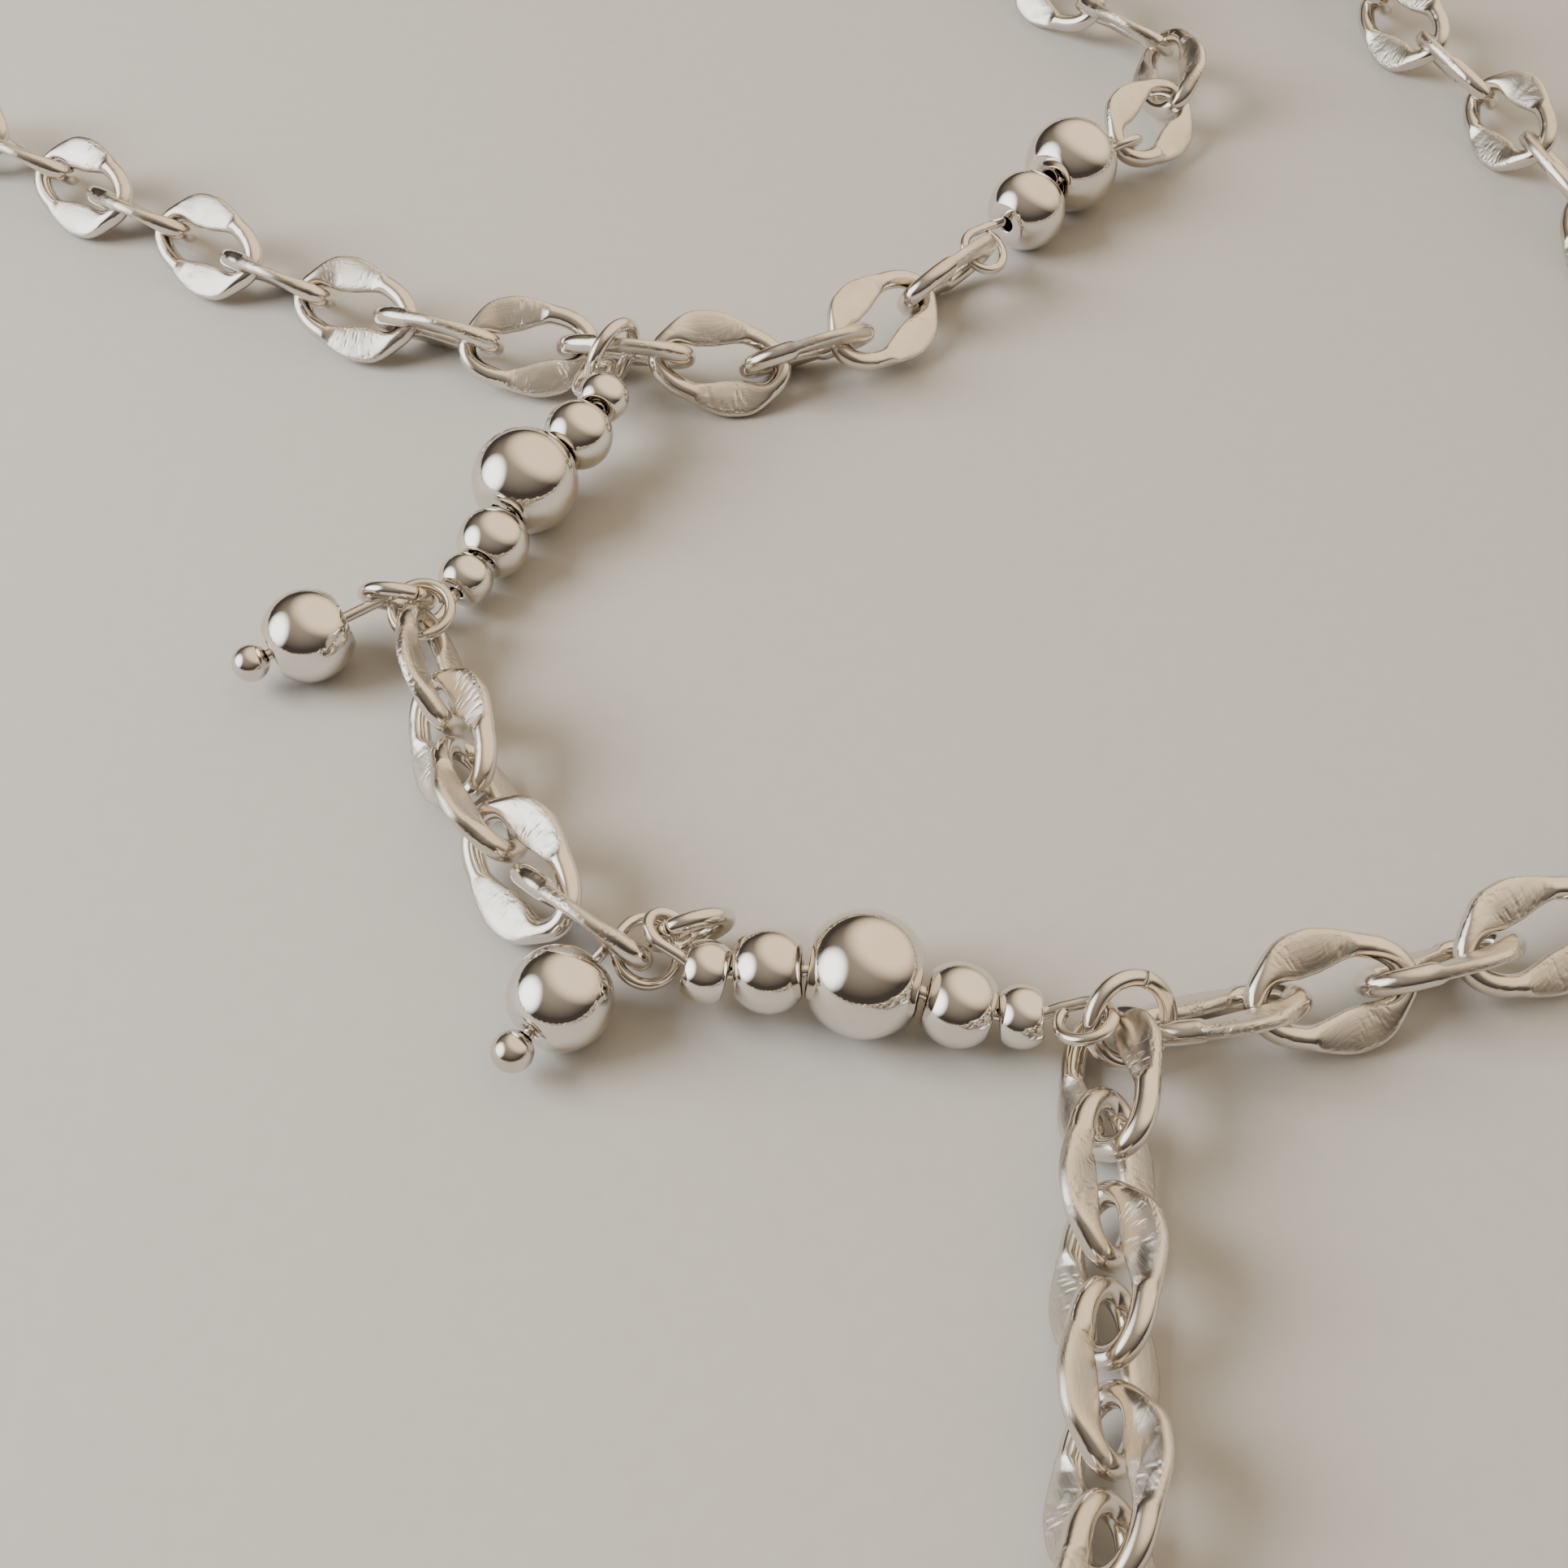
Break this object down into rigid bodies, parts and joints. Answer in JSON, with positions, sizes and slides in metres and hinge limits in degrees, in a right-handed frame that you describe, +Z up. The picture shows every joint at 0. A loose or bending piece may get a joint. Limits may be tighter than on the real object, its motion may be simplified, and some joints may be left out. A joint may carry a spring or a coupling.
{
  "type": "double chain necklace",
  "caption": "Cable chain necklace of flat-sided oval links with a short row of graduated beads and ball drops, and a longer row draped beside it, lying flat and fastened.",
  "frame": {"origin": "centre of the bounding box's base, on the surface the necklace lies on", "axes": "+Z up out of the surface; +Y away from the viewer of the picture, along the necklace's greatest length; +X to that viewer's right"},
  "size_m": [0.1452, 0.1728, 0.0061],
  "materials": {
    "polished_beads": "mirror polished stainless steel",
    "flat_sided_links": "polished stainless steel, the flat sides brushed along their length and lightly pitted",
    "round_wire": "polished stainless steel wire",
    "clasp_steel": "polished stainless steel"
  },
  "bodies": {
    "root": {"bead_upper_1": "polished_beads", "bead_upper_2": "polished_beads", "bead_upper_3": "polished_beads", "bead_upper_4": "polished_beads", "bead_upper_5": "polished_beads", "pin_upper_string": "round_wire", "bead_lower_1": "polished_beads", "bead_lower_2": "polished_beads", "bead_lower_3": "polished_beads", "bead_lower_4": "polished_beads", "bead_lower_5": "polished_beads", "pin_lower_string": "round_wire", "bead_far_1": "polished_beads", "bead_far_2": "polished_beads", "pin_far_pair": "round_wire", "bead_near_1": "polished_beads", "bead_near_2": "polished_beads", "pin_near_pair": "round_wire", "drop_left_ball": "polished_beads", "drop_left_pin": "round_wire", "drop_near_ball": "polished_beads", "drop_near_pin": "round_wire", "ring_upper": "round_wire", "ring_lower": "round_wire", "ring_drop_left": "round_wire", "ring_drop_near": "round_wire", "link_left_0": "flat_sided_links", "link_left_1": "flat_sided_links", "link_left_2": "flat_sided_links", "link_left_3": "flat_sided_links", "link_left_4": "flat_sided_links", "link_left_5": "flat_sided_links", "link_left_6": "flat_sided_links", "link_left_7": "flat_sided_links", "link_far_1": "flat_sided_links", "link_far_2": "flat_sided_links", "link_far_3": "flat_sided_links", "link_far_4": "flat_sided_links", "link_right_1": "flat_sided_links", "link_right_2": "flat_sided_links", "link_right_3": "flat_sided_links", "link_right_4": "flat_sided_links", "link_middle_1": "flat_sided_links", "link_middle_2": "flat_sided_links", "link_middle_3": "flat_sided_links", "link_middle_4": "flat_sided_links", "link_middle_5": "flat_sided_links", "link_front_1": "flat_sided_links", "link_front_2": "flat_sided_links", "link_front_3": "flat_sided_links", "link_front_4": "flat_sided_links", "link_front_5": "flat_sided_links", "link_front_6": "flat_sided_links", "clasp": "clasp_steel", "ring_clasp_left": "round_wire", "ring_clasp_right": "round_wire", "neck_chain_left": "flat_sided_links", "neck_chain_right": "flat_sided_links", "drape_chain": "flat_sided_links"}
  },
  "joints": []
}
